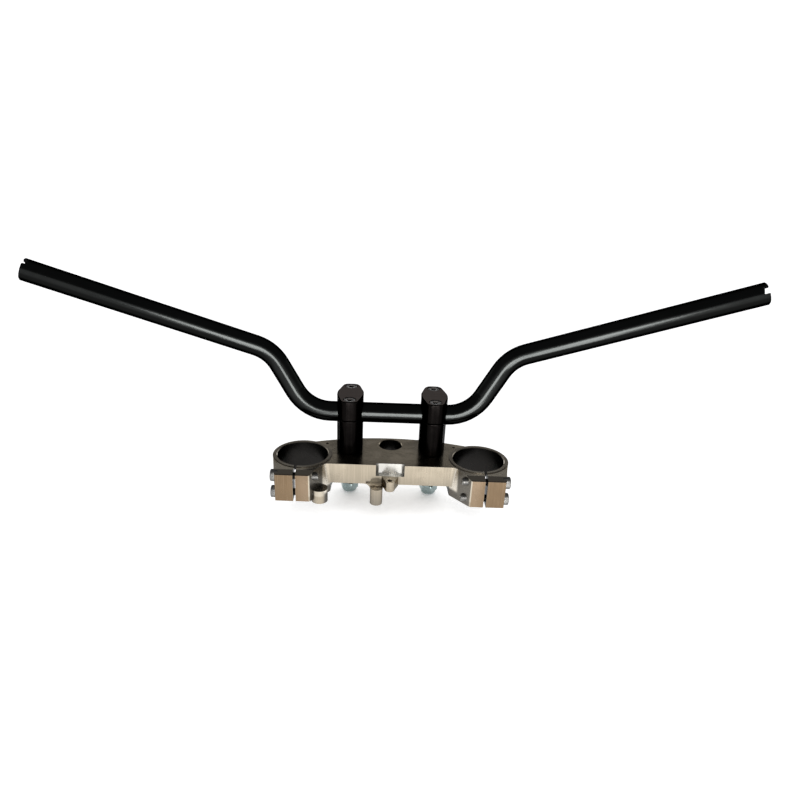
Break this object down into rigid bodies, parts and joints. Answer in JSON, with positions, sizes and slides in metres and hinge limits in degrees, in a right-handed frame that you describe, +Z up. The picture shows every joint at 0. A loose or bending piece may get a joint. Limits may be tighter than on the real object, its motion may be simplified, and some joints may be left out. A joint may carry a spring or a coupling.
{
  "type": "motorcycle handlebar with risers and top yoke",
  "caption": "Bent black tube handlebar clamped by capped risers on a milled top yoke that has a stem bore and split fork clamps with pinch bolts.",
  "frame": {"origin": "steering stem axis at the underside of the yoke plate", "axes": "+X along the bar, to the right seen from the fork side; +Y away from the fork legs; +Z up along the stem axis"},
  "size_m": [0.7246, 0.0995, 0.2609],
  "materials": {
    "bar_black": "black anodised, satin gloss",
    "riser_black": "black anodised, turned and polished",
    "yoke_titanium": "titanium-coloured anodised over fine milling lines",
    "screw_black": "black oxide steel",
    "bolt_bright": "bright steel",
    "zinc_steel": "bluish zinc plate"
  },
  "bodies": {
    "root": {"cap_screw_left_front": "screw_black", "cap_screw_left_rear": "screw_black", "cap_screw_right_front": "screw_black", "cap_screw_right_rear": "screw_black", "clamp_cap_left": "riser_black", "clamp_cap_right": "riser_black", "handlebar": "bar_black", "pinch_bolt_left_lower": "bolt_bright", "pinch_bolt_left_upper": "bolt_bright", "pinch_bolt_right_lower": "bolt_bright", "pinch_bolt_right_upper": "bolt_bright", "riser_left": "riser_black", "riser_nut_left": "zinc_steel", "riser_nut_right": "zinc_steel", "riser_right": "riser_black", "riser_sleeve_left": "zinc_steel", "riser_sleeve_right": "zinc_steel", "riser_stud_left": "zinc_steel", "riser_stud_right": "zinc_steel", "top_yoke": "yoke_titanium"}
  },
  "joints": []
}
